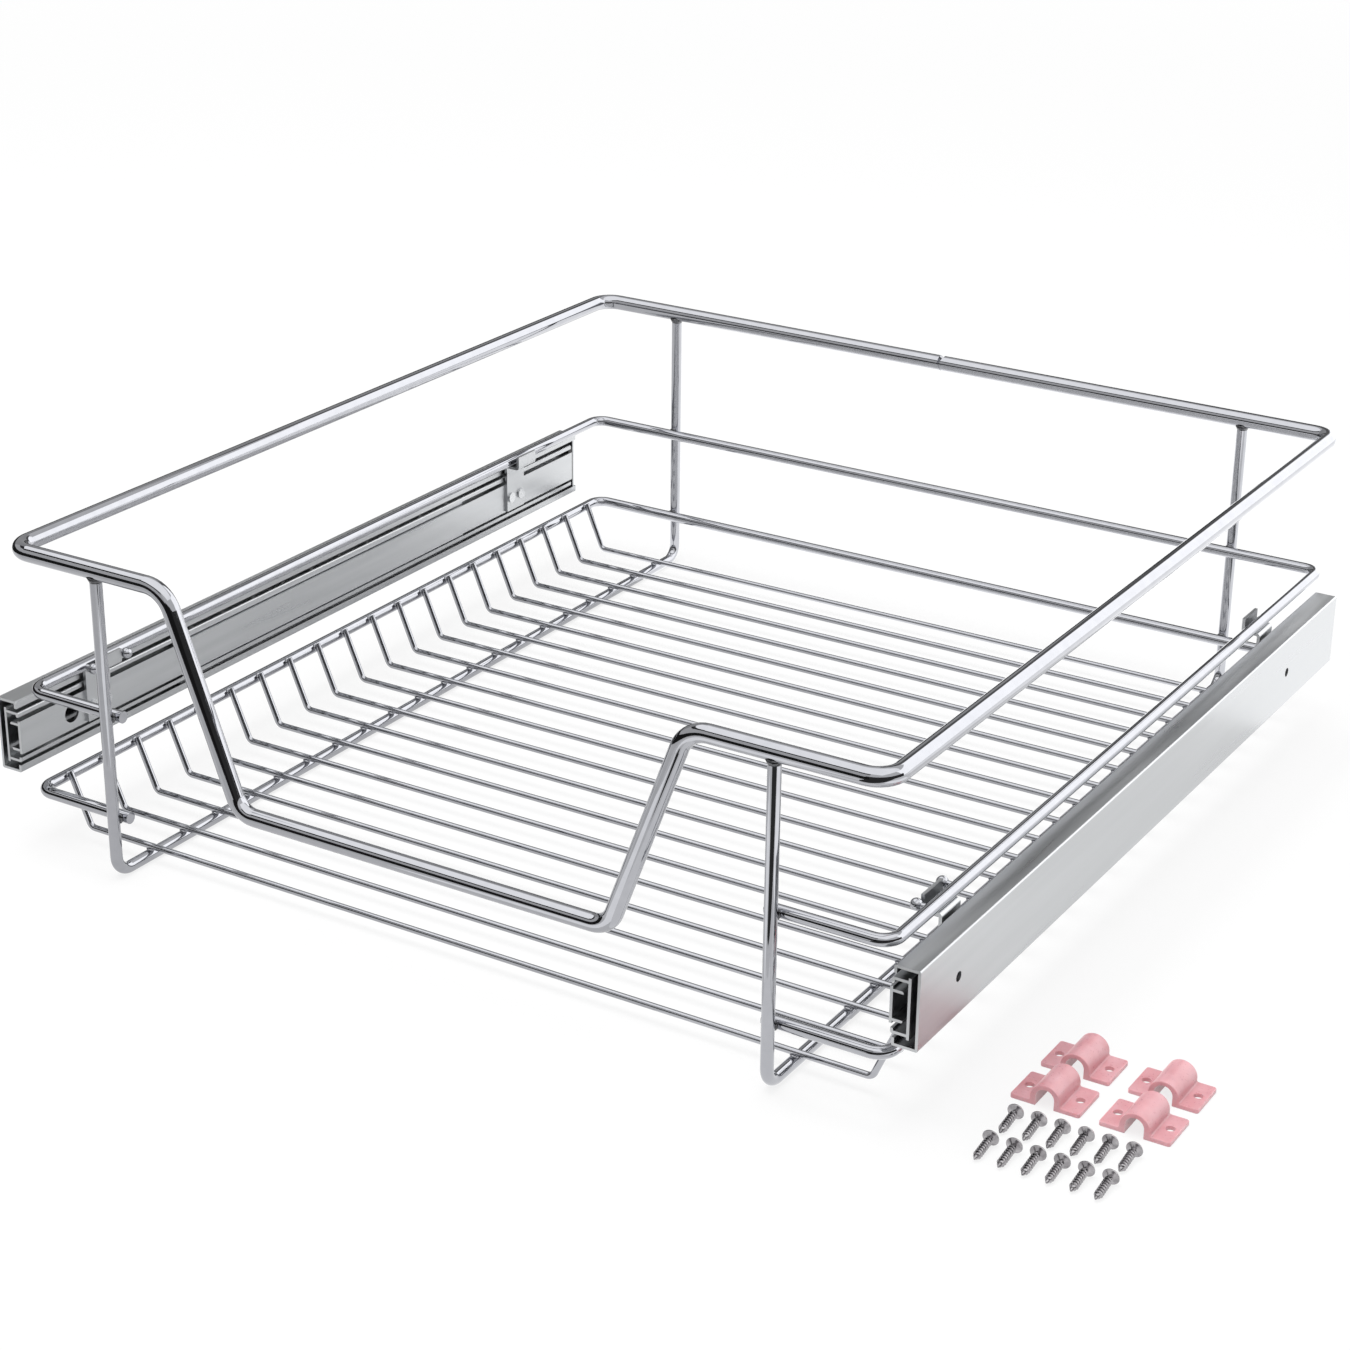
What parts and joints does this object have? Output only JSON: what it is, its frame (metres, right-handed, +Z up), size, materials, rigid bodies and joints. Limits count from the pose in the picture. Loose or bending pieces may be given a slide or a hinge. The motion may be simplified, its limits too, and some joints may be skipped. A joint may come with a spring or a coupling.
{
  "type": "telescopic pull-out drawer",
  "caption": "Chromed wire basket drawer with a dipped front rim, on full-extension ball-bearing side slides, with loose saddle clips and wood screws.",
  "frame": {"origin": "on the floor, under the middle of the basket's footprint (half its width and half its depth)", "axes": "+X to the right seen from the front, -Y to the front, the way the drawer pulls out, +Z up"},
  "size_m": [0.5522, 0.48, 0.152],
  "materials": {
    "chrome_wire": "bright chrome plate",
    "zinc_sheet": "light zinc-plated cold-rolled sheet",
    "cage_steel": "thin plated strip",
    "ball_steel": "polished bearing balls, lightly greased",
    "rivet_steel": "plain plated rivets",
    "bumper_rubber": "black rubber",
    "clip_plastic": "slightly translucent rose-pink plastic",
    "screw_steel": "bright zinc plate"
  },
  "bodies": {
    "cabinet": {"left_cabinet_member": "zinc_sheet", "right_cabinet_member": "zinc_sheet", "left_bumper": "bumper_rubber", "right_bumper": "bumper_rubber", "saddle_clip_1": "clip_plastic", "saddle_clip_2": "clip_plastic", "saddle_clip_3": "clip_plastic", "saddle_clip_4": "clip_plastic", "clip_screws": "screw_steel", "slide_screws": "screw_steel"},
    "basket": {"rim_wire": "chrome_wire", "mid_loop": "chrome_wire", "low_loop": "chrome_wire", "left_u_frame": "chrome_wire", "right_u_frame": "chrome_wire", "floor_wire_01": "chrome_wire", "floor_wire_02": "chrome_wire", "floor_wire_03": "chrome_wire", "floor_wire_04": "chrome_wire", "floor_wire_05": "chrome_wire", "floor_wire_06": "chrome_wire", "floor_wire_07": "chrome_wire", "floor_wire_08": "chrome_wire", "floor_wire_09": "chrome_wire", "floor_wire_10": "chrome_wire", "floor_wire_11": "chrome_wire", "floor_wire_12": "chrome_wire", "floor_wire_13": "chrome_wire", "floor_wire_14": "chrome_wire", "floor_wire_15": "chrome_wire", "floor_wire_16": "chrome_wire", "floor_wire_17": "chrome_wire", "floor_wire_18": "chrome_wire", "floor_wire_19": "chrome_wire", "floor_wire_20": "chrome_wire", "left_front_peg": "chrome_wire", "left_rear_peg": "chrome_wire", "right_front_peg": "chrome_wire", "right_rear_peg": "chrome_wire", "left_drawer_member": "zinc_sheet", "left_front_hook": "zinc_sheet", "left_rear_hook": "zinc_sheet", "left_hook_rivets": "rivet_steel", "right_drawer_member": "zinc_sheet", "right_front_hook": "zinc_sheet", "right_rear_hook": "zinc_sheet", "right_hook_rivets": "rivet_steel"},
    "left_intermediate": {"left_intermediate_member": "zinc_sheet"},
    "left_outer_cage": {"left_outer_ball_cage": "cage_steel", "left_outer_balls": "ball_steel"},
    "left_inner_cage": {"left_inner_ball_cage": "cage_steel", "left_inner_balls": "ball_steel"},
    "right_intermediate": {"right_intermediate_member": "zinc_sheet"},
    "right_outer_cage": {"right_outer_ball_cage": "cage_steel", "right_outer_balls": "ball_steel"},
    "right_inner_cage": {"right_inner_ball_cage": "cage_steel", "right_inner_balls": "ball_steel"}
  },
  "joints": [
    {"name": "drawer_slide", "type": "slide", "parent": "cabinet", "child": "basket", "axis": [0, -1, 0], "range_m": [0, 0.4]},
    {"name": "left_intermediate_slide", "type": "slide", "parent": "cabinet", "child": "left_intermediate", "axis": [0, -1, 0], "range_m": [0, 0.2]},
    {"name": "left_outer_cage_slide", "type": "slide", "parent": "cabinet", "child": "left_outer_cage", "axis": [0, -1, 0], "range_m": [0, 0.1]},
    {"name": "left_inner_cage_slide", "type": "slide", "parent": "cabinet", "child": "left_inner_cage", "axis": [0, -1, 0], "range_m": [0, 0.3]},
    {"name": "right_intermediate_slide", "type": "slide", "parent": "cabinet", "child": "right_intermediate", "axis": [0, -1, 0], "range_m": [0, 0.2]},
    {"name": "right_outer_cage_slide", "type": "slide", "parent": "cabinet", "child": "right_outer_cage", "axis": [0, -1, 0], "range_m": [0, 0.1]},
    {"name": "right_inner_cage_slide", "type": "slide", "parent": "cabinet", "child": "right_inner_cage", "axis": [0, -1, 0], "range_m": [0, 0.3]}
  ],
  "couplings": [
    {"joint": "left_intermediate_slide", "follows": "drawer_slide", "ratio": 0.5},
    {"joint": "left_outer_cage_slide", "follows": "drawer_slide", "ratio": 0.25},
    {"joint": "left_inner_cage_slide", "follows": "drawer_slide", "ratio": 0.75},
    {"joint": "right_intermediate_slide", "follows": "drawer_slide", "ratio": 0.5},
    {"joint": "right_outer_cage_slide", "follows": "drawer_slide", "ratio": 0.25},
    {"joint": "right_inner_cage_slide", "follows": "drawer_slide", "ratio": 0.75}
  ]
}
